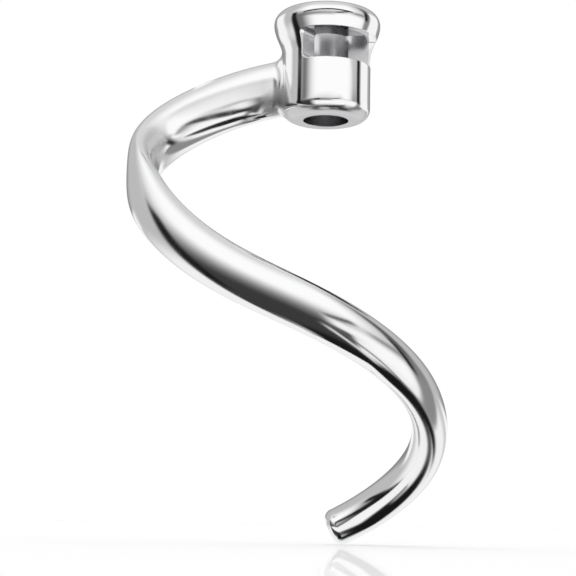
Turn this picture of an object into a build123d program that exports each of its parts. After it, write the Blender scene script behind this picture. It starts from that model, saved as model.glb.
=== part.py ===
# Spiral dough hook for a stand mixer: one polished steel casting.
# Millimetres. The bore is the Z axis, and Z = 0 is the hub's lower face.
import os
from math import asin, cos, degrees, radians, sin

from build123d import *

# Hub
bore_diameter = 13.0
mouth_chamfer = 0.8
hub_diameter = 25.2
hub_height = 31.6
foot_round = 3.5
neck_height = 18.5
lip_diameter = 30.6
lip_round = 3.6

# Bayonet window, and the keyway that leads the drive pin down to its open end
window_start_angle = 235.0
window_end_angle = 365.0
window_floor = 15.4
window_height = 8.5
window_corner_round = 1.5
keyway_width = 6.4
keyway_reach = 11.4

# Straight root of the rod, which ends where the bend starts, and the shoulder of the bend
root_depth = 8.2
bend_reach = 17.4
bend_offset = 2.9
bend_height = 9.0
shoulder_reach = 30.0
shoulder_offset = 1.3
shoulder_height = 4.3

# Centreline of the spiral: distance from the bore axis and height at each part of the turn
left_angle = 195.0
left_radius = 52.3
left_height = -16.4
left_front_angle = 225.0
left_front_radius = 46.4
left_front_height = -44.6
front_angle = 270.0
front_radius = 40.3
front_height = -62.1
right_front_angle = 315.0
right_front_radius = 34.3
right_front_height = -78.0
right_angle = 360.0
right_radius = 28.3
right_height = -95.4
right_back_angle = 405.0
right_back_radius = 22.6
right_back_height = -108.8
tip_angle = 433.4
tip_radius = 20.3
tip_height = -114.8

# Oval section of the rod: tall and narrow at the hub, round at the tip
root_section_height = 16.9
bend_section_height = 16.2
section_height_power = 0.77
root_section_width = 8.0
tip_diameter = 10.7
section_width_power = 2.1
section_count = 28
root_fillet = 3.0
tip_round = 2.6

hub_radius = hub_diameter / 2
lip_radius = lip_diameter / 2
bore_radius = bore_diameter / 2
lip_height = hub_height - lip_round
window_middle = window_floor + window_height / 2
keyway_angle = window_end_angle - degrees(asin(keyway_width / 2 / keyway_reach))


def turn_point(angle, radius, height):
    return (radius * cos(radians(angle)), radius * sin(radians(angle)), height)


def taper(bend_size, tip_size, run, power):
    return bend_size + (tip_size - bend_size) * run**power


def section_plane(place, direction):
    level = Vector(0, 0, 1).cross(direction).normalized()
    return Plane(origin=place, x_dir=level, z_dir=direction)


# Centreline of the rod, from the end of its straight root to the tip
with BuildLine() as rod_path:
    Spline(
        (-bend_reach, bend_offset, bend_height),
        (-shoulder_reach, shoulder_offset, shoulder_height),
        turn_point(left_angle, left_radius, left_height),
        turn_point(left_front_angle, left_front_radius, left_front_height),
        turn_point(front_angle, front_radius, front_height),
        turn_point(right_front_angle, right_front_radius, right_front_height),
        turn_point(right_angle, right_radius, right_height),
        turn_point(right_back_angle, right_back_radius, right_back_height),
        turn_point(tip_angle, tip_radius, tip_height),
    )
centreline = rod_path.edge()
root_direction = centreline % 0
root_end = centreline @ 0
root_start = root_end + root_direction * ((bend_reach - root_depth) / root_direction.X)
tip_direction = centreline % 1
tip_start = centreline @ 1
tip_radial = Vector(0, 0, 1).cross(tip_direction)
tip_end_radius = tip_diameter / 2

# Space of the bayonet window, rounded at its closed end
window_start_plane = Plane(
    origin=(0, 0, window_middle),
    x_dir=turn_point(window_start_angle, 1, 0),
    z_dir=turn_point(window_start_angle - 90, 1, 0),
)
with BuildPart() as window_space:
    with BuildSketch(window_start_plane):
        with Locations(((lip_diameter + bore_radius) / 2, 0)):
            Rectangle(lip_diameter - bore_radius / 2, window_height)
    revolve(axis=Axis.Z, revolution_arc=window_end_angle - window_start_angle)
    closed_end_middle = turn_point(window_start_angle, lip_diameter, window_middle)
    closed_end = window_space.faces().sort_by_distance(closed_end_middle)[0]
    fillet(closed_end.edges().filter_by(Axis.Z, reverse=True), window_corner_round)

# Spiral rod: oval sections that stand square to the centreline, and a blunt rounded tip
with BuildPart() as spiral_rod:
    for step in range(section_count + 1):
        run = step / section_count
        with BuildSketch(section_plane(centreline @ run, centreline % run)):
            Ellipse(
                taper(root_section_width, tip_diameter, run, section_width_power) / 2,
                taper(bend_section_height, tip_diameter, run, section_height_power) / 2,
            )
    loft()
    with BuildSketch(Plane(origin=tip_start, x_dir=tip_direction, z_dir=tip_radial)):
        with BuildLine():
            Polyline((tip_round, 0), (0, 0), (0, tip_end_radius))
            RadiusArc((0, tip_end_radius), (tip_round, tip_end_radius - tip_round), tip_round)
            Line((tip_round, tip_end_radius - tip_round), (tip_round, 0))
        make_face()
    revolve(axis=Axis(tip_start, tip_direction))

with BuildPart() as dough_hook:
    # Hub: turned body with a rounded foot and a flared, rounded lip
    with BuildSketch(Plane.XZ):
        with BuildLine():
            Polyline((0, hub_height), (0, 0), (hub_radius - foot_round, 0))
            RadiusArc((hub_radius - foot_round, 0), (hub_radius, foot_round), -foot_round)
            Line((hub_radius, foot_round), (hub_radius, neck_height))
            Spline((hub_radius, neck_height), (lip_radius, lip_height), tangents=((0, 1), (0, 1)))
            RadiusArc((lip_radius, lip_height), (lip_radius - lip_round, hub_height), -lip_round)
            Line((lip_radius - lip_round, hub_height), (0, hub_height))
        make_face()
    revolve(axis=Axis.Z)

    # Straight root of the rod, blended into the hub
    with BuildSketch(section_plane(root_start, root_direction)):
        Ellipse(root_section_width / 2, root_section_height / 2)
    with BuildSketch(section_plane(root_end, root_direction)):
        Ellipse(root_section_width / 2, bend_section_height / 2)
    loft()
    root_edges = (
        dough_hook.edges(Select.LAST)
        .filter_by(GeomType.BSPLINE)
        .filter_by_position(Axis.X, -hub_radius, 0)
        .filter_by_position(Axis.Z, 0, hub_height)
    )
    fillet(root_edges, root_fillet)

    add(spiral_rod.part)

    # Bore for the drive shaft, with a lead-in chamfer at its mouth
    with BuildSketch(Plane.XZ):
        Polygon(
            (0, 0),
            (bore_radius, 0),
            (bore_radius, hub_height - mouth_chamfer),
            (bore_radius + mouth_chamfer, hub_height),
            (0, hub_height),
            align=None,
        )
    revolve(axis=Axis.Z, mode=Mode.SUBTRACT)

    # Bayonet window, then the keyway from the mouth down to its open end
    add(window_space.part, mode=Mode.SUBTRACT)
    with BuildSketch(Plane.XY.offset(window_floor)):
        with PolarLocations(keyway_reach / 2, 1, start_angle=keyway_angle):
            Rectangle(keyway_reach, keyway_width)
    extrude(amount=hub_height - window_floor, mode=Mode.SUBTRACT)

dough_hook.part.label = "dough_hook"
os.makedirs("parts", exist_ok=True)
export_step(dough_hook.part, "parts/dough_hook.step")
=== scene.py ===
from math import asin, cos, degrees, pi, radians, sin, sqrt

import bpy
import numpy as np
from mathutils import Euler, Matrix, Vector


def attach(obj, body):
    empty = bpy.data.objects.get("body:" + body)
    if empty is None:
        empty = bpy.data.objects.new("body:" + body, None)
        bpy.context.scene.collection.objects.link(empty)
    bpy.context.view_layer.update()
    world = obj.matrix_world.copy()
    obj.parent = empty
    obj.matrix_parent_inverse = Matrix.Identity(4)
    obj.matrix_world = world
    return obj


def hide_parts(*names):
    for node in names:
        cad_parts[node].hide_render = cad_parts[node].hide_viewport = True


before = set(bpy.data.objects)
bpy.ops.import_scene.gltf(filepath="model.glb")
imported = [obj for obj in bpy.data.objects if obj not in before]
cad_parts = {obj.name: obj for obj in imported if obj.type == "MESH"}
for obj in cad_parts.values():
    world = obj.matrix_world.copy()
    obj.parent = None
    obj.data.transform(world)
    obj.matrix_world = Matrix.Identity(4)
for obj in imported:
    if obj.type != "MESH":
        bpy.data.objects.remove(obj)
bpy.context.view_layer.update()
scene = bpy.context.scene
mm = 0.001
print("stage: frame loaded")


# node helpers: a value is either a socket to link or a plain number

def feed(tree, socket, value):
    if isinstance(value, bpy.types.NodeSocket):
        tree.links.new(value, socket)
    else:
        socket.default_value = value


def mathNode(tree, operation, first, second=None, third=None):
    node = tree.nodes.new("ShaderNodeMath")
    node.operation = operation
    for socket, value in zip(node.inputs, (first, second, third)):
        if value is not None:
            feed(tree, socket, value)
    return node.outputs[0]


def vectorNode(tree, operation, first, second=None, scale=None):
    node = tree.nodes.new("ShaderNodeVectorMath")
    node.operation = operation
    feed(tree, node.inputs[0], first)
    if second is not None:
        feed(tree, node.inputs[1], second)
    if scale is not None:
        feed(tree, node.inputs["Scale"], scale)
    return node.outputs["Value"] if operation in ("DOT_PRODUCT", "LENGTH") else node.outputs["Vector"]


def rangeNode(tree, value, fromLow, fromHigh, toLow, toHigh, smooth=False):
    node = tree.nodes.new("ShaderNodeMapRange")
    node.interpolation_type = "SMOOTHSTEP" if smooth else "LINEAR"
    node.clamp = True
    names = ("Value", "From Min", "From Max", "To Min", "To Max")
    for name, item in zip(names, (value, fromLow, fromHigh, toLow, toHigh)):
        feed(tree, node.inputs[name], item)
    return node.outputs["Result"]


def splitXYZ(tree, vector):
    node = tree.nodes.new("ShaderNodeSeparateXYZ")
    feed(tree, node.inputs[0], vector)
    return node.outputs[0], node.outputs[1], node.outputs[2]


def joinXYZ(tree, x, y, z):
    node = tree.nodes.new("ShaderNodeCombineXYZ")
    for socket, value in zip(node.inputs, (x, y, z)):
        feed(tree, socket, value)
    return node.outputs[0]


def emptyMaterial(name):
    material = bpy.data.materials.new(name)
    material.use_nodes = True
    tree = material.node_tree
    tree.nodes.remove(tree.nodes["Principled BSDF"])
    return material, tree


def mixShaders(tree, share, first, second):
    mix = tree.nodes.new("ShaderNodeMixShader")
    for socket, value in zip(mix.inputs, (share, first, second)):
        feed(tree, socket, value)
    feed(tree, tree.nodes["Material Output"].inputs["Surface"], mix.outputs[0])


# polished stainless steel

steelLook = {
    "colour": (0.9, 0.9, 0.905, 1),
    "rodRoughness": 0.1,
    "hubRoughness": 0.05,
    "hubReach": 16.5 * mm,  # the turned hub has the finer polish
    "hubFade": 3 * mm,
    "hubFoot": (-8 * mm, -2 * mm),  # heights over which that polish begins
    "polishScale": 260.0,  # fine marks of the polishing wheel, per metre
    "polishDetail": 3,
    "polishRange": (0.35, 0.7),  # part of the noise that shows
    "roughnessSpread": 0.03,
    "polishBump": 0.004,
    "polishDepth": 0.2 * mm,
    "boredReach": 12.3 * mm,  # nearer the axis the steel is only machined and rougher; its colour there is darkened as painted shade
    "boredFade": 0.3 * mm,
    "boredRoughness": 0.22,
    # painted shade: the darker colour inside the bore stands in for the shade in that recess
    "boreShadeColour": (0.6, 0.6, 0.61, 1),
    # inside corners that the wheel cannot reach: middle and reach in mm
    "dullSpots": [((-48.0, -15.5, -11.0), 8.0), ((-14.0, -1.0, 5.0), 7.0)],
    "dullCore": 0.4,  # share of the reach that is dull all over
    "dullRoughness": 0.34,
    "edgeRound": 0.35 * mm,  # the wheel takes the sharp rims down
    "edgeSamples": 6,
}


def steelRoughness(tree, look, place, fromAxis, bored, noise):
    below = rangeNode(tree, splitXYZ(tree, place)[2], *look["hubFoot"], 1.0, 0.0, smooth=True)
    reach = look["hubReach"]
    away = rangeNode(tree, fromAxis, reach, reach + look["hubFade"], 0.0, 1.0, smooth=True)
    onRod = mathNode(tree, "MAXIMUM", below, away)
    step = look["rodRoughness"] - look["hubRoughness"]
    polish = mathNode(tree, "MULTIPLY_ADD", onRod, step, look["hubRoughness"])
    for middle, dullReach in look["dullSpots"]:
        offset = vectorNode(tree, "SUBTRACT", place, tuple(c * mm for c in middle))
        gap = vectorNode(tree, "LENGTH", offset)
        core = dullReach * look["dullCore"] * mm
        dull = rangeNode(tree, gap, core, dullReach * mm, look["dullRoughness"], 0.0, smooth=True)
        polish = mathNode(tree, "MAXIMUM", polish, dull)
    spread = rangeNode(tree, noise, *look["polishRange"], 0.0, look["roughnessSpread"])
    boredShine = mathNode(tree, "MULTIPLY", bored, look["boredRoughness"])
    return mathNode(tree, "MAXIMUM", mathNode(tree, "ADD", polish, spread), boredShine)


def makeSteel(look):
    material = bpy.data.materials.new("polishedSteel")
    material.use_nodes = True
    tree = material.node_tree
    shader = tree.nodes["Principled BSDF"]
    shader.inputs["Metallic"].default_value = 1
    place = tree.nodes.new("ShaderNodeTexCoord").outputs["Object"]
    fromAxis = vectorNode(tree, "LENGTH", vectorNode(tree, "MULTIPLY", place, (1, 1, 0)))
    boredReach = look["boredReach"]
    bored = rangeNode(tree, fromAxis, boredReach - look["boredFade"], boredReach, 1.0, 0.0, smooth=True)
    marks = tree.nodes.new("ShaderNodeTexNoise")
    feed(tree, marks.inputs["Vector"], place)
    marks.inputs["Scale"].default_value = look["polishScale"]
    marks.inputs["Detail"].default_value = look["polishDetail"]
    noise = marks.outputs["Fac"]
    feed(tree, shader.inputs["Roughness"], steelRoughness(tree, look, place, fromAxis, bored, noise))

    # painted shade: inside the bore the steel colour is darkened
    boreShadeTint = tree.nodes.new("ShaderNodeMix")
    boreShadeTint.data_type = "RGBA"
    feed(tree, boreShadeTint.inputs[0], bored)
    boreShadeTint.inputs[6].default_value = look["colour"]
    boreShadeTint.inputs[7].default_value = look["boreShadeColour"]
    feed(tree, shader.inputs["Base Color"], boreShadeTint.outputs[2])

    rim = tree.nodes.new("ShaderNodeBevel")
    rim.samples = look["edgeSamples"]
    rim.inputs["Radius"].default_value = look["edgeRound"]
    bump = tree.nodes.new("ShaderNodeBump")
    bump.inputs["Strength"].default_value = look["polishBump"]
    bump.inputs["Distance"].default_value = look["polishDepth"]
    feed(tree, bump.inputs["Height"], noise)
    feed(tree, bump.inputs["Normal"], rim.outputs["Normal"])
    feed(tree, shader.inputs["Normal"], bump.outputs["Normal"])
    return material


steel = makeSteel(steelLook)
print("stage: steel made")


# hub: a turned body with a bore, a bayonet window and a keyway

hub = {  # millimetres and degrees
    "boreRadius": 6.5,
    "mouthChamfer": 0.8,
    "bodyRadius": 12.6,
    "height": 31.6,
    "footRound": 3.5,
    "neckHeight": 18.5,
    "lipRadius": 15.3,
    "lipRound": 3.6,
    "windowStart": 235.0,
    "windowEnd": 365.0,
    "windowFloor": 15.4,
    "windowHeight": 8.5,
    "windowCorner": 1.5,
    "keywayWidth": 6.4,
    "keywayReach": 11.4,
}

hubMesh = {  # how finely the hub is cut up, and how far the cutters pass it
    "turnSteps": 240,
    "footSteps": 16,
    "flareSteps": 24,
    "lipSteps": 20,
    "wallSteps": 4,
    "cornerSteps": 10,
    "windowSteps": 60,
    "cutterInset": 2.5,
    "cutterMargin": 5.0,
}


def hubProfile(h, grid):
    bore, body, lip = h["boreRadius"], h["bodyRadius"], h["lipRadius"]
    foot, neck, chamfer = h["footRound"], h["neckHeight"], h["mouthChamfer"]
    lipHeight = h["height"] - h["lipRound"]
    walls = range(1, grid["wallSteps"])
    points = [(bore, 0.0), ((bore + body - foot) / 2, 0.0)]
    for step in range(grid["footSteps"] + 1):
        turn = pi / 2 * step / grid["footSteps"]
        points.append((body - foot * (1 - sin(turn)), foot * (1 - cos(turn))))
    points += [(body, foot + (neck - foot) * k / grid["wallSteps"]) for k in walls]
    for step in range(grid["flareSteps"] + 1):  # from the body out to the lip
        t = step / grid["flareSteps"]
        points.append((body + (lip - body) * t * t * (3 - 2 * t), neck + (lipHeight - neck) * t))
    for step in range(1, grid["lipSteps"] + 1):
        turn = pi / 2 * step / grid["lipSteps"]
        points.append((lip - h["lipRound"] * (1 - cos(turn)), lipHeight + h["lipRound"] * sin(turn)))
    points += [(bore + chamfer, h["height"]), (bore, h["height"] - chamfer)]
    points += [(bore, (h["height"] - chamfer) * k / grid["wallSteps"]) for k in reversed(walls)]
    return points


def meshObject(name, vertices, faces):
    mesh = bpy.data.meshes.new(name)
    mesh.from_pydata([tuple(c * mm for c in v) for v in vertices], [], faces)
    thing = bpy.data.objects.new(name, mesh)
    scene.collection.objects.link(thing)
    return thing


def turnedHub(h, grid):
    profile = hubProfile(h, grid)
    rows = len(profile)
    steps = grid["turnSteps"]
    turns = [2 * pi * k / steps for k in range(steps)]
    vertices = [(r * cos(turn), r * sin(turn), z) for turn in turns for r, z in profile]
    faces = []
    for k in range(steps):
        here, there = k * rows, (k + 1) % steps * rows
        faces += [(here + j, there + j, there + (j + 1) % rows, here + (j + 1) % rows) for j in range(rows)]
    return meshObject("hub", vertices, faces)


def windowCutter(h, grid):
    inner, outer = h["boreRadius"] - grid["cutterInset"], h["lipRadius"] + grid["cutterMargin"]
    span, corner = h["windowEnd"] - h["windowStart"], h["windowCorner"]
    cornerTurn = degrees(asin(corner / h["bodyRadius"]))
    cornerSteps, windowSteps = grid["cornerSteps"], grid["windowSteps"]
    turns = [cornerTurn * (1 - cos(pi / 2 * k / cornerSteps)) for k in range(cornerSteps + 1)]
    turns += [cornerTurn + (span - cornerTurn) * k / windowSteps for k in range(1, windowSteps + 1)]
    vertices = []
    for turn in turns:
        offset = corner  # distance from the closed end, as far as the corner reaches
        if turn < cornerTurn:
            offset = min(h["bodyRadius"] * sin(radians(turn)), corner)
        trim = corner - sqrt(max(corner ** 2 - (corner - offset) ** 2, 0))
        low, high = h["windowFloor"] + trim, h["windowFloor"] + h["windowHeight"] - trim
        a = radians(h["windowStart"] + turn)
        outline = ((inner, low), (outer, low), (outer, high), (inner, high))
        vertices += [(r * cos(a), r * sin(a), z) for r, z in outline]
    faces = [(0, 1, 2, 3)]
    for k in range(len(turns) - 1):
        a, b = 4 * k, 4 * k + 4
        faces += [(a + j, b + j, b + (j + 1) % 4, a + (j + 1) % 4) for j in range(4)]
    last = 4 * (len(turns) - 1)
    faces.append((last + 3, last + 2, last + 1, last))
    return meshObject("windowCutter", vertices, faces)


def keywayCutter(h, grid):
    half = h["keywayWidth"] / 2
    angle = radians(h["windowEnd"]) - asin(half / h["keywayReach"])
    along, across = Vector((cos(angle), sin(angle), 0)), Vector((-sin(angle), cos(angle), 0))
    vertices = []
    for z in (h["windowFloor"], h["height"] + grid["cutterMargin"]):
        for reach, side in ((0, -half), (h["keywayReach"], -half), (h["keywayReach"], half), (0, half)):
            vertices.append(tuple(along * reach + across * side + Vector((0, 0, z))))
    faces = [(3, 2, 1, 0), (4, 5, 6, 7), (0, 1, 5, 4), (1, 2, 6, 5), (2, 3, 7, 6), (3, 0, 4, 7)]
    return meshObject("keywayCutter", vertices, faces)


def cutAway(thing, cutters):
    for cutter in cutters:
        cut = thing.modifiers.new(cutter.name, "BOOLEAN")
        cut.operation = "DIFFERENCE"
        cut.solver = "EXACT"
        cut.object = cutter
    graph = bpy.context.evaluated_depsgraph_get()
    mesh = bpy.data.meshes.new_from_object(thing.evaluated_get(graph))
    thing.modifiers.clear()
    thing.data = mesh
    for cutter in cutters:
        bpy.data.objects.remove(cutter)


hubPiece = turnedHub(hub, hubMesh)
cutAway(hubPiece, [windowCutter(hub, hubMesh), keywayCutter(hub, hubMesh)])
print("stage: hub turned and cut,", len(hubPiece.data.polygons), "faces")


# rod: an oval section that follows the spiral, flared into the hub and rounded at the tip

rodPath = {  # centreline: the start of the bend, the shoulder, then (turn in degrees, radius, height)
    "bend": (-17.4, 2.9, 9.0),
    "shoulder": (-30.0, 1.3, 4.3),
    "turns": [
        (195, 52.3, -16.4),
        (225, 46.4, -44.6),
        (270, 40.3, -62.1),
        (315, 34.3, -78.0),
        (360, 28.3, -95.4),
        (405, 22.6, -108.8),
        (433.4, 20.3, -114.8),
    ],
    "steps": 400,  # of each stretch
}

rodSection = {
    "Rows": 460,
    "Around": 96,
    "Bend Height": 16.2 * mm,
    "Tip Height": 10.7 * mm,
    "Height Power": 0.77,
    "Bend Width": 8.0 * mm,
    "Tip Width": 10.7 * mm,
    "Width Power": 2.1,
    "Tip Round": 2.6 * mm,
    "Root Fillet": 3.0 * mm,
    "Foot Fillet": 0.9 * mm,
    "Body Radius": hub["bodyRadius"] * mm,
    "Foot Round": hub["footRound"] * mm,
    "Neck Height": hub["neckHeight"] * mm,
    "Lip Height": (hub["height"] - hub["lipRound"]) * mm,
    "Lip Radius": hub["lipRadius"] * mm,
}

rodRows = {  # share of the rows at which each zone ends: root blend, rod, tip rounding, then the flat end
    "root": 0.07,
    "body": 0.92,
    "tip": 0.98,
    "slack": 0.0001,
    "footTurn": (0.35, 0.95),  # how far the skin faces down where the foot fillet takes over
    "weld": 0.001 * mm,
}


def rodCurve(path):
    points = [path["bend"], path["shoulder"]]
    points += [(r * cos(radians(a)), r * sin(radians(a)), z) for a, r, z in path["turns"]]
    points = np.array(points) * mm
    gaps = np.linalg.norm(np.diff(points, axis=0), axis=1)
    place = np.concatenate(([0], np.cumsum(gaps)))
    count = len(points)
    system, wanted = np.zeros((count, count)), np.zeros((count, 3))
    ends = ((0, slice(0, 4)), (count - 1, slice(count - 4, count)))
    for end, few in ends:  # end slopes from the four nearest points
        fit = np.polyfit(place[few] - place[end], points[few], 3)
        system[end, end] = 1
        wanted[end] = fit[2]
    for k in range(1, count - 1):
        before, after = gaps[k - 1], gaps[k]
        stepIn, stepOut = (points[k] - points[k - 1]) / before, (points[k + 1] - points[k]) / after
        system[k, k - 1:k + 2] = after, 2 * (before + after), before
        wanted[k] = 3 * (after * stepIn + before * stepOut)
    slopes = np.linalg.solve(system, wanted)
    curve = bpy.data.curves.new("rodCentreline", "CURVE")
    curve.dimensions = "3D"
    spline = curve.splines.new("BEZIER")
    spline.bezier_points.add(count - 1)
    spline.resolution_u = path["steps"]
    for k, knot in enumerate(spline.bezier_points):
        knot.handle_left_type = knot.handle_right_type = "FREE"
        knot.co = points[k]
        knot.handle_left = points[k] - slopes[k] * gaps[max(k - 1, 0)] / 3
        knot.handle_right = points[k] + slopes[k] * gaps[min(k, count - 2)] / 3
    thing = bpy.data.objects.new("rod", curve)
    scene.collection.objects.link(thing)
    return thing


def rodTree(section, rows, material):
    tree = bpy.data.node_groups.new("spiralRod", "GeometryNodeTree")
    tree.interface.new_socket("Geometry", in_out="INPUT", socket_type="NodeSocketGeometry")
    for name, value in section.items():
        kind = "NodeSocketInt" if isinstance(value, int) else "NodeSocketFloat"
        tree.interface.new_socket(name, in_out="INPUT", socket_type=kind)
    tree.interface.new_socket("Geometry", in_out="OUTPUT", socket_type="NodeSocketGeometry")
    given = tree.nodes.new("NodeGroupInput").outputs
    result = tree.nodes.new("NodeGroupOutput")

    def m(*a):
        return mathNode(tree, *a)

    def v(*a, **k):
        return vectorNode(tree, *a, **k)

    def r(*a, **k):
        return rangeNode(tree, *a, **k)

    sheet = tree.nodes.new("GeometryNodeMeshGrid")  # rows along the rod, columns around it
    sheet.inputs["Size X"].default_value = 1
    sheet.inputs["Size Y"].default_value = 1
    feed(tree, sheet.inputs["Vertices X"], given["Rows"])
    feed(tree, sheet.inputs["Vertices Y"], given["Around"])
    x, y, z = splitXYZ(tree, tree.nodes.new("GeometryNodeInputPosition").outputs[0])
    row = m("ADD", x, 0.5)
    angle = m("MULTIPLY", m("ADD", y, 0.5), 2 * pi)
    rootTurn = r(row, 0.0, rows["root"], 0.0, pi / 2)
    bodyShare = r(row, rows["root"], rows["body"], 0.0, 1.0)
    tipTurn = r(row, rows["body"], rows["tip"], 0.0, pi / 2)
    endShare = r(row, rows["tip"], 1.0, 1.0, 0.0)

    sample = tree.nodes.new("GeometryNodeSampleCurve")
    sample.mode = "FACTOR"
    feed(tree, sample.inputs["Curves"], given["Geometry"])
    feed(tree, sample.inputs["Factor"], bodyShare)
    ahead = sample.outputs["Tangent"]
    level = v("NORMALIZE", v("CROSS_PRODUCT", (0, 0, 1), ahead))
    rise = v("CROSS_PRODUCT", ahead, level)
    tipLength = m("MULTIPLY", m("SINE", tipTurn), given["Tip Round"])
    tipInset = m("MULTIPLY", m("SUBTRACT", 1.0, m("COSINE", tipTurn)), given["Tip Round"])
    middle = v("ADD", sample.outputs["Position"], v("SCALE", ahead, scale=tipLength))

    def halfSize(start, end, power):
        change = m("SUBTRACT", given[end], given[start])
        grown = m("MULTIPLY_ADD", change, m("POWER", bodyShare, given[power]), given[start])
        return m("MULTIPLY", m("MULTIPLY_ADD", grown, 0.5, m("MULTIPLY", tipInset, -1.0)), endShare)

    halfWidth = halfSize("Bend Width", "Tip Width", "Width Power")
    halfHeight = halfSize("Bend Height", "Tip Height", "Height Power")
    sideways, upward = m("COSINE", angle), m("SINE", angle)

    def onOval(levelSize, riseSize):
        levelPart = v("SCALE", level, scale=m("MULTIPLY", sideways, levelSize))
        risePart = v("SCALE", rise, scale=m("MULTIPLY", upward, riseSize))
        return v("ADD", levelPart, risePart)

    skin = v("ADD", middle, onOval(halfWidth, halfHeight))
    outward = v("NORMALIZE", onOval(halfHeight, halfWidth))

    def hubRadius(height):  # the hub's own outline, foot and flare included
        footRound = given["Foot Round"]
        footDrop = m("MAXIMUM", m("SUBTRACT", footRound, m("MAXIMUM", height, 0.0)), 0.0)
        footSquare = m("SUBTRACT", m("MULTIPLY", footRound, footRound), m("MULTIPLY", footDrop, footDrop))
        foot = m("SUBTRACT", m("SQRT", footSquare), footRound)
        flareWidth = m("SUBTRACT", given["Lip Radius"], given["Body Radius"])
        flare = r(height, given["Neck Height"], given["Lip Height"], 0.0, flareWidth, smooth=True)
        return m("ADD", m("ADD", given["Body Radius"], foot), flare)

    facingDown = m("MULTIPLY", splitXYZ(tree, outward)[2], -1.0)
    downward = r(facingDown, *rows["footTurn"], 0.0, 1.0, smooth=True)
    filletChange = m("SUBTRACT", given["Foot Fillet"], given["Root Fillet"])
    blend = m("MULTIPLY_ADD", filletChange, downward, given["Root Fillet"])
    lift = m("MULTIPLY", m("SUBTRACT", 1.0, m("COSINE", rootTurn)), blend)
    spread = m("MULTIPLY", m("SUBTRACT", 1.0, m("SINE", rootTurn)), blend)
    flat = v("MULTIPLY", ahead, (1, 1, 0))
    flatSquare = v("DOT_PRODUCT", flat, flat)

    def meetHub(start, radius):  # slide along the rod to this distance from the bore axis
        flatStart = v("MULTIPLY", start, (1, 1, 0))
        lean = v("DOT_PRODUCT", flatStart, flat)
        excess = m("SUBTRACT", v("DOT_PRODUCT", flatStart, flatStart), m("MULTIPLY", radius, radius))
        square = m("SUBTRACT", m("MULTIPLY", lean, lean), m("MULTIPLY", flatSquare, excess))
        root = m("SQRT", m("MAXIMUM", square, 0.0))
        return v("ADD", start, v("SCALE", ahead, scale=m("DIVIDE", m("SUBTRACT", root, lean), flatSquare)))

    near = meetHub(skin, m("ADD", given["Body Radius"], lift))
    near = meetHub(skin, m("ADD", hubRadius(splitXYZ(tree, near)[2]), lift))
    hubOut = v("NORMALIZE", v("MULTIPLY", near, (1, 1, 0)))
    intoHub = v("SCALE", hubOut, scale=v("DOT_PRODUCT", outward, hubOut))
    along = v("NORMALIZE", v("SUBTRACT", outward, intoHub))
    flared = v("ADD", near, v("SCALE", along, scale=spread))
    flaredHeight = splitXYZ(tree, flared)[2]
    around = v("NORMALIZE", v("MULTIPLY", flared, (1, 1, 0)))
    flaredReach = v("SCALE", around, scale=m("ADD", hubRadius(flaredHeight), lift))
    onHub = v("ADD", flaredReach, joinXYZ(tree, 0.0, 0.0, flaredHeight))

    choose = tree.nodes.new("GeometryNodeSwitch")
    choose.input_type = "VECTOR"
    feed(tree, choose.inputs["Switch"], m("LESS_THAN", row, rows["root"] + rows["slack"]))
    feed(tree, choose.inputs["False"], skin)
    feed(tree, choose.inputs["True"], onHub)

    shape = tree.nodes.new("GeometryNodeSetPosition")
    feed(tree, shape.inputs["Geometry"], sheet.outputs["Mesh"])
    feed(tree, shape.inputs["Position"], choose.outputs[0])
    weld = tree.nodes.new("GeometryNodeMergeByDistance")
    weld.inputs["Distance"].default_value = rows["weld"]
    feed(tree, weld.inputs["Geometry"], shape.outputs["Geometry"])
    turned = tree.nodes.new("GeometryNodeFlipFaces")  # faces look outward
    feed(tree, turned.inputs["Mesh"], weld.outputs["Geometry"])
    real = tree.nodes.new("GeometryNodeRealizeInstances")
    feed(tree, real.inputs["Geometry"], turned.outputs["Mesh"])
    paint = tree.nodes.new("GeometryNodeSetMaterial")
    paint.inputs["Material"].default_value = material
    feed(tree, paint.inputs["Geometry"], real.outputs["Geometry"])
    feed(tree, result.inputs["Geometry"], paint.outputs["Geometry"])
    return tree


rodLine = rodCurve(rodPath)
sweep = rodLine.modifiers.new("spiralRod", "NODES")
sweep.node_group = rodTree(rodSection, rodRows, steel)
for item in sweep.node_group.interface.items_tree:
    if item.in_out == "INPUT" and item.name in rodSection:
        sweep[item.identifier] = rodSection[item.name]
graph = bpy.context.evaluated_depsgraph_get()
rodMesh = bpy.data.meshes.new_from_object(rodLine.evaluated_get(graph))
bpy.data.objects.remove(rodLine)
print("stage: rod swept,", len(rodMesh.polygons), "faces")


# hub and rod are one casting

casting = {"name": "doughHook", "sharpAngle": 35}


def joinCasting(pieces, look):
    vertices, faces = [], []
    for mesh in pieces:
        start = len(vertices)
        vertices += [tuple(p.co) for p in mesh.vertices]
        faces += [[start + k for k in face.vertices] for face in mesh.polygons]
    whole = bpy.data.meshes.new(look["name"])
    whole.from_pydata(vertices, [], faces)
    whole.materials.append(steel)
    whole.shade_smooth()
    whole.set_sharp_from_angle(angle=radians(look["sharpAngle"]))
    thing = bpy.data.objects.new(look["name"], whole)
    scene.collection.objects.link(thing)
    return thing


doughHook = joinCasting([hubPiece.data, rodMesh], casting)
bpy.data.objects.remove(hubPiece)
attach(doughHook, "root")
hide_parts("dough_hook")
print("stage: casting joined")


# floor under the tip

floorLook = {
    "height": -0.1199,
    "size": 6.0,
    "colour": (1, 1, 1, 1),
    "sheen": 0.27,
    "sheenColour": (1, 1, 1, 1),
    "sheenRoughness": 0.02,
}


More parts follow.
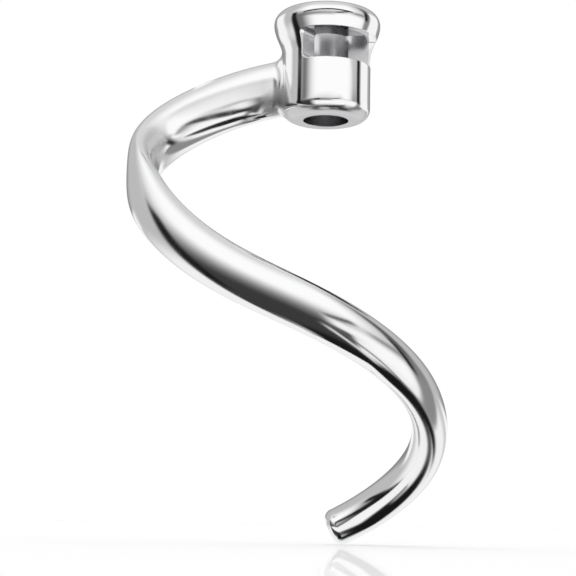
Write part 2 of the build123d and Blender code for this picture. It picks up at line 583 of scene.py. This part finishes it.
def makeFloor(look):
    half = look["size"] / 2
    corners = [(-half, -half, 0), (half, -half, 0), (half, half, 0), (-half, half, 0)]
    mesh = bpy.data.meshes.new("floor")
    mesh.from_pydata(corners, [], [(0, 1, 2, 3)])
    thing = bpy.data.objects.new("floor", mesh)
    thing.location.z = look["height"]
    scene.collection.objects.link(thing)
    material, tree = emptyMaterial("paleTable")
    matt = tree.nodes.new("ShaderNodeBsdfDiffuse")
    matt.inputs["Color"].default_value = look["colour"]
    gloss = tree.nodes.new("ShaderNodeBsdfGlossy")
    gloss.inputs["Color"].default_value = look["sheenColour"]
    gloss.inputs["Roughness"].default_value = look["sheenRoughness"]
    grazing = tree.nodes.new("ShaderNodeFresnel").outputs[0]  # the table shines only at a low angle
    mixShaders(tree, mathNode(tree, "MULTIPLY", grazing, look["sheen"]), matt.outputs[0], gloss.outputs[0])
    mesh.materials.append(material)
    thing.visible_glossy = False


makeFloor(floorLook)
print("stage: floor laid")


# studio: a pale tent, and what the polished steel mirrors in it

studio = {
    "tent": 0.54,
    "table": (0.97, 2.0, 24.0),  # tone, and the degrees below level over which it fades in
    "below": (0.01, 63.0, 74.0),  # straight down, in the hook's own shadow
    "roof": (0.72, 50.0, 72.0),  # tone, and the degrees above level over which it fades in
    "backdrop": (0.25, 0.6, 0.98),  # darker straight behind, which gives the steel its outline
    "backdropFoot": (2.0, 5.0),  # degrees above level over which the backdrop begins
    "horizon": (1.0, 0.5, 0.8),  # pale strip behind, between the table and the backdrop
    "horizonFoot": (-6.0, -3.0),
    # bearing from the camera side, elevation, half width, half height, tilt, two soft edges, tone
    "panels": [
        (0, 42, 72, 28, 0, 26, 18, 1.08),  # softbox in front and above
        (-30, -33, 58, 40, -8, 4, 22, 0.045),  # dark room low in front
        (40, -75, 100, 22, 0, 8, 8, 0.012),  # table edge below
        (32, -5, 18, 8, 0, 8, 4, 1.0),  # softbox low on the right, and its narrow end
        (62, -14, 22, 17, -5, 10, 8, 1.05),
        (99, -22, 13, 34, 0, 4, 8, 0.27),  # grey wall beside it
        (78, 11, 22, 4, 0, 8, 4, 0.3),  # bars above and below it
        (31, 10.5, 17, 3, 22, 6, 2.5, 0.06),
        (40, -37, 40, 2.5, -36, 8, 2.5, 0.12),
        (22, -43, 26, 3.5, -46, 6, 3, 0.8),  # light strip under the lower bar
        (98, 30, 10, 20, 0, 7, 14, 0.1),  # gap in the tent on the right
        (90, 13, 4, 14, 0, 2, 4, 0.01),
        (-76, -4, 6, 23, 0, 3, 4, 0.01),  # gap in the tent on the left
    ],
}


def makeStudio(look):
    world = bpy.data.worlds.new("studio")
    scene.world = world
    world.use_nodes = True
    tree = world.node_tree
    background = tree.nodes["Background"]
    background.inputs["Color"].default_value = (1, 1, 1, 1)
    x, y, z = splitXYZ(tree, tree.nodes.new("ShaderNodeTexCoord").outputs["Generated"])

    def m(*a):
        return mathNode(tree, *a)

    def fade(value, low, high):
        return rangeNode(tree, value, low, high, 0.0, 1.0, smooth=True)

    def lay(under, share, over):
        return m("ADD", m("MULTIPLY", under, m("SUBTRACT", 1.0, share)), m("MULTIPLY", share, over))

    bearing = m("MULTIPLY", m("ARCTAN2", x, m("MULTIPLY", y, -1.0)), 180 / pi)
    elevation = m("MULTIPLY", m("ARCSINE", z), 180 / pi)
    depression = m("MULTIPLY", elevation, -1.0)

    def within(value, half, soft):
        return rangeNode(tree, m("ABSOLUTE", value), half - soft, half + soft, 1.0, 0.0, smooth=True)

    def panel(bearingMiddle, elevationMiddle, halfWidth, halfHeight, tilt, softWidth, softHeight):
        across, up = m("SUBTRACT", bearing, bearingMiddle), m("SUBTRACT", elevation, elevationMiddle)
        c, s = cos(radians(tilt)), sin(radians(tilt))
        u = m("ADD", m("MULTIPLY", across, c), m("MULTIPLY", up, s))
        v = m("SUBTRACT", m("MULTIPLY", up, c), m("MULTIPLY", across, s))
        return m("MULTIPLY", within(u, halfWidth, softWidth), within(v, halfHeight, softHeight))

    tableTone, *tableFade = look["table"]
    belowTone, *belowFade = look["below"]
    roofTone, *roofFade = look["roof"]
    backTone, *backFade = look["backdrop"]
    horizonTone, *horizonFade = look["horizon"]
    mirrored = lay(look["tent"], fade(depression, *tableFade), tableTone)
    mirrored = lay(mirrored, fade(elevation, *roofFade), roofTone)
    for *place, panelTone in look["panels"]:
        mirrored = lay(mirrored, panel(*place), panelTone)
    mirrored = lay(mirrored, fade(depression, *belowFade), belowTone)
    aboveTable = fade(elevation, *look["backdropFoot"])
    mirrored = lay(mirrored, m("MULTIPLY", fade(y, *backFade), aboveTable), backTone)
    strip = m("MULTIPLY", fade(elevation, *look["horizonFoot"]), m("SUBTRACT", 1.0, aboveTable))
    mirrored = lay(mirrored, m("MULTIPLY", fade(y, *horizonFade), strip), horizonTone)
    glossy = tree.nodes.new("ShaderNodeLightPath").outputs["Is Glossy Ray"]
    feed(tree, background.inputs["Strength"], lay(1.0, glossy, mirrored))


makeStudio(studio)
print("stage: studio made")


# flat cards beside the hook, seen only in the steel

cards = {  # lowest and highest corner and soft edges in mm, tone
    "flareLight": ((-52, -28, 5), (70, -28, 29), (46, 5), 1.08),
    "lipFlag": ((-18, -20, 29.7), (18, -20, 31.6), (4, 0.3), 0.005),
    "hubShade": ((-62, -27.5, 2), (-10, -27.5, 36), (26, 10), 0.18),
    "armLine": ((-12.5, -25, -10), (-5, -25, 6), (2, 2), 0.01),
    "armFlag": ((-5, -25, -45), (30, -25, -15), (3, 3), 0.01),
    "footFlag": ((-10, -17, -24), (13, -17, -10), (2, 2), 0.01),
    "boreSideLight": ((5.3, -4, 24.6), (5.3, 4, 31), (1.5, 1), 1.3),
    "footLight": ((-11, -17, -7), (17, -17, 3), (6, 2), 1.05),
    "tipLight": ((-25, -42, -120.2), (13, 10, -120.2), (3, 3), 1.0),
    "tipFlag": ((0, -1, -114.5), (0, 5.5, -106.5), (1.5, 1.5), 0.01),
    "rimLight": ((-8, 15, -120.2), (28, 45, -120.2), (3, 2), 0.95),
    "leftBackLight": ((-40, -4, 15), (-40, 29, 47), (8, 4), 1.0),
    "rightBackLight": ((40, -6, -8), (40, 26, 50), (5, 4), 1.0),
}


def makeCard(name, low, high, soft, tone):
    sides = [k for k in range(3) if low[k] != high[k]]
    corners = []
    for a, b in ((low, low), (high, low), (high, high), (low, high)):
        corner = list(low)
        corner[sides[0]] = a[sides[0]]
        corner[sides[1]] = b[sides[1]]
        corners.append(corner)
    thing = meshObject(name, corners, [(0, 1, 2, 3)])
    material, tree = emptyMaterial(name)
    place = splitXYZ(tree, tree.nodes.new("ShaderNodeTexCoord").outputs["Object"])
    share = 1.0
    for side, edge in zip(sides, soft):
        middle, half = (low[side] + high[side]) / 2 * mm, (high[side] - low[side]) / 2 * mm
        out = mathNode(tree, "ABSOLUTE", mathNode(tree, "SUBTRACT", place[side], middle))
        inside = rangeNode(tree, out, half - edge * mm, half, 1.0, 0.0, smooth=True)
        share = mathNode(tree, "MULTIPLY", share, inside)
    glow = tree.nodes.new("ShaderNodeEmission")
    glow.inputs["Strength"].default_value = tone
    clear = tree.nodes.new("ShaderNodeBsdfTransparent")
    mixShaders(tree, share, clear.outputs[0], glow.outputs[0])
    thing.data.materials.append(material)
    thing.visible_camera = thing.visible_diffuse = thing.visible_shadow = False
    thing.visible_transmission = thing.visible_volume_scatter = False


for cardName, cardPlace in cards.items():
    makeCard(cardName, *cardPlace)
print("stage: cards placed")


# camera at the picture's viewing angle

view = {  # metres and degrees
    "place": (-0.0099, -0.430, -0.1136),
    "pitch": 8.6,
    "roll": 1.1,
    "lens": 96.5,
    "sensor": 36,
    "clipStart": 0.01,
}
camera = bpy.data.objects.new("camera", bpy.data.cameras.new("camera"))
camera.data.lens = view["lens"]
camera.data.sensor_width = view["sensor"]
camera.data.clip_start = view["clipStart"]
camera.location = view["place"]
pitch = Euler((radians(90 + view["pitch"]), 0, 0)).to_matrix()
roll = Euler((0, 0, radians(view["roll"]))).to_matrix()
camera.rotation_euler = (pitch @ roll).to_euler()
scene.collection.objects.link(camera)
scene.camera = camera
scene.view_settings.view_transform = "Standard"
